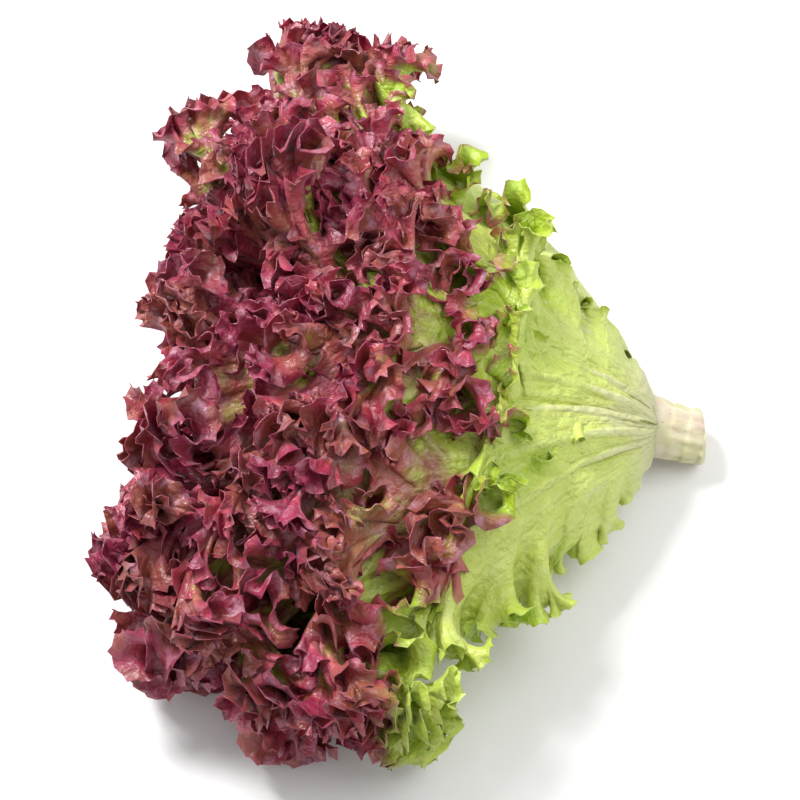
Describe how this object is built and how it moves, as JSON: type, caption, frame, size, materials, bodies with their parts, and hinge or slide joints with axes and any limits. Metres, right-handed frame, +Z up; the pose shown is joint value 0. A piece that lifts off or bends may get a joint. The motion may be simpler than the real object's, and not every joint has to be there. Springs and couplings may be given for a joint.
{
  "type": "lollo rosso lettuce",
  "caption": "Cut head of frilly red-leaved lettuce lying on its side: waved, notched leaves in layers round a pale stem, wine-red at their margins and green towards the stem.",
  "frame": {"origin": "middle of the bounding box's base, on the surface that the head lies on", "axes": "+Z up; the stem's cut end points towards +X and the crown towards -X; +Y across the fan of leaves"},
  "size_m": [0.2375, 0.3108, 0.1062],
  "materials": {
    "leaf": "soft waxy leaf: wine-red frilled margins, through olive, to yellow-green near the stem",
    "stem": "smooth pale green to pinkish-white stem with leaf scars and a cut end"
  },
  "bodies": {
    "root": {"stem": "stem", "leaf_01": "leaf", "leaf_02": "leaf", "leaf_03": "leaf", "leaf_04": "leaf", "leaf_05": "leaf", "leaf_06": "leaf", "leaf_07": "leaf", "leaf_08": "leaf", "leaf_09": "leaf", "leaf_10": "leaf", "leaf_11": "leaf", "leaf_12": "leaf", "leaf_13": "leaf", "leaf_14": "leaf", "leaf_15": "leaf", "leaf_16": "leaf", "leaf_17": "leaf", "leaf_18": "leaf", "leaf_19": "leaf", "leaf_20": "leaf", "leaf_21": "leaf", "leaf_22": "leaf", "leaf_23": "leaf", "leaf_24": "leaf", "leaf_25": "leaf", "leaf_26": "leaf"}
  },
  "joints": []
}
